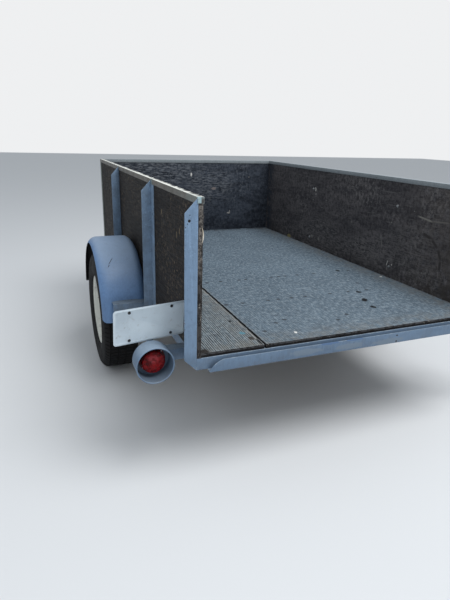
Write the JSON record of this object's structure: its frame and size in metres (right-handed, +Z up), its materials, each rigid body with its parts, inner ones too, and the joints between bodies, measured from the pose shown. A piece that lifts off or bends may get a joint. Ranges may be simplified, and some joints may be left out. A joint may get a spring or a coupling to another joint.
{
  "type": "utility trailer",
  "caption": "Single-axle box trailer with plywood sides and floor on an angle steel frame, open rear, round fenders, A-frame tongue and parking jack.",
  "frame": {"origin": "centre of the deck, on the top face of the plywood floor, midway between the side walls' outer faces and midway between the rear plane and the front wall's outer face", "axes": "+X to the trailer's right, +Y forwards to the tongue, +Z up"},
  "size_m": [2.0857, 3.6148, 1.171],
  "materials": {
    "steel_paint": "pale blue-grey brushed-on paint, satin, chipped at edges",
    "ply_stain": "dark weathered stain on plywood, matt",
    "ply_grey": "worn grey paint on plywood, matt, grain showing",
    "black_paint": "black chassis paint, dusty",
    "spring_steel": "dark steel with surface rust",
    "cream_paint": "cream-white wheel paint, dusty",
    "bare_steel": "dull cast steel",
    "tyre": "worn black tyre rubber",
    "zinc": "dull zinc plate",
    "red_lens": "red ribbed plastic lens, glossy",
    "plate_white": "blank white plate, semi-gloss"
  },
  "bodies": {
    "chassis": {"frame_rail_left": "steel_paint", "frame_rail_right": "steel_paint", "sill_rear": "steel_paint", "sill_front": "steel_paint", "crossmembers": "steel_paint", "tailgate_channel": "steel_paint", "posts_left": "steel_paint", "posts_right": "steel_paint", "posts_front": "steel_paint", "cap_left": "steel_paint", "cap_right": "steel_paint", "cap_front": "steel_paint", "fender_left": "steel_paint", "fender_right": "steel_paint", "fender_brackets": "steel_paint", "lamp_bracket_left": "steel_paint", "lamp_bracket_right": "steel_paint", "lamp_can_left": "steel_paint", "lamp_can_right": "steel_paint", "plate_bracket": "steel_paint", "tongue_left": "steel_paint", "tongue_right": "steel_paint", "wall_left": "ply_stain", "wall_right": "ply_stain", "wall_front": "ply_stain", "floor_sheet": "ply_grey", "floor_strip": "ply_grey", "axle": "black_paint", "spring_left": "spring_steel", "spring_right": "spring_steel", "spring_hangers": "black_paint", "spring_plates": "spring_steel", "coupler": "zinc", "coupler_nose": "zinc", "coupler_socket": "zinc", "coupler_latch": "zinc", "jack_tube": "zinc", "jack_crank": "zinc", "lamp_lens_left": "red_lens", "lamp_lens_right": "red_lens", "plate": "plate_white"},
    "wheel_left": {"hub_left": "bare_steel", "rim_left": "cream_paint", "tyre_left": "tyre"},
    "wheel_right": {"hub_right": "bare_steel", "rim_right": "cream_paint", "tyre_right": "tyre"},
    "jack_leg": {"jack_leg": "zinc", "jack_foot": "zinc"}
  },
  "joints": [
    {"name": "wheel_left_spin", "type": "hinge", "parent": "chassis", "child": "wheel_left", "pos_m": [-0.91, -0.033, -0.206], "axis": [1, 0, 0], "continuous": true},
    {"name": "wheel_right_spin", "type": "hinge", "parent": "chassis", "child": "wheel_right", "pos_m": [0.91, -0.033, -0.206], "axis": [1, 0, 0], "continuous": true},
    {"name": "jack_leg_lift", "type": "slide", "parent": "chassis", "child": "jack_leg", "axis": [0, 0, 1], "range_m": [0, 0.235]}
  ]
}
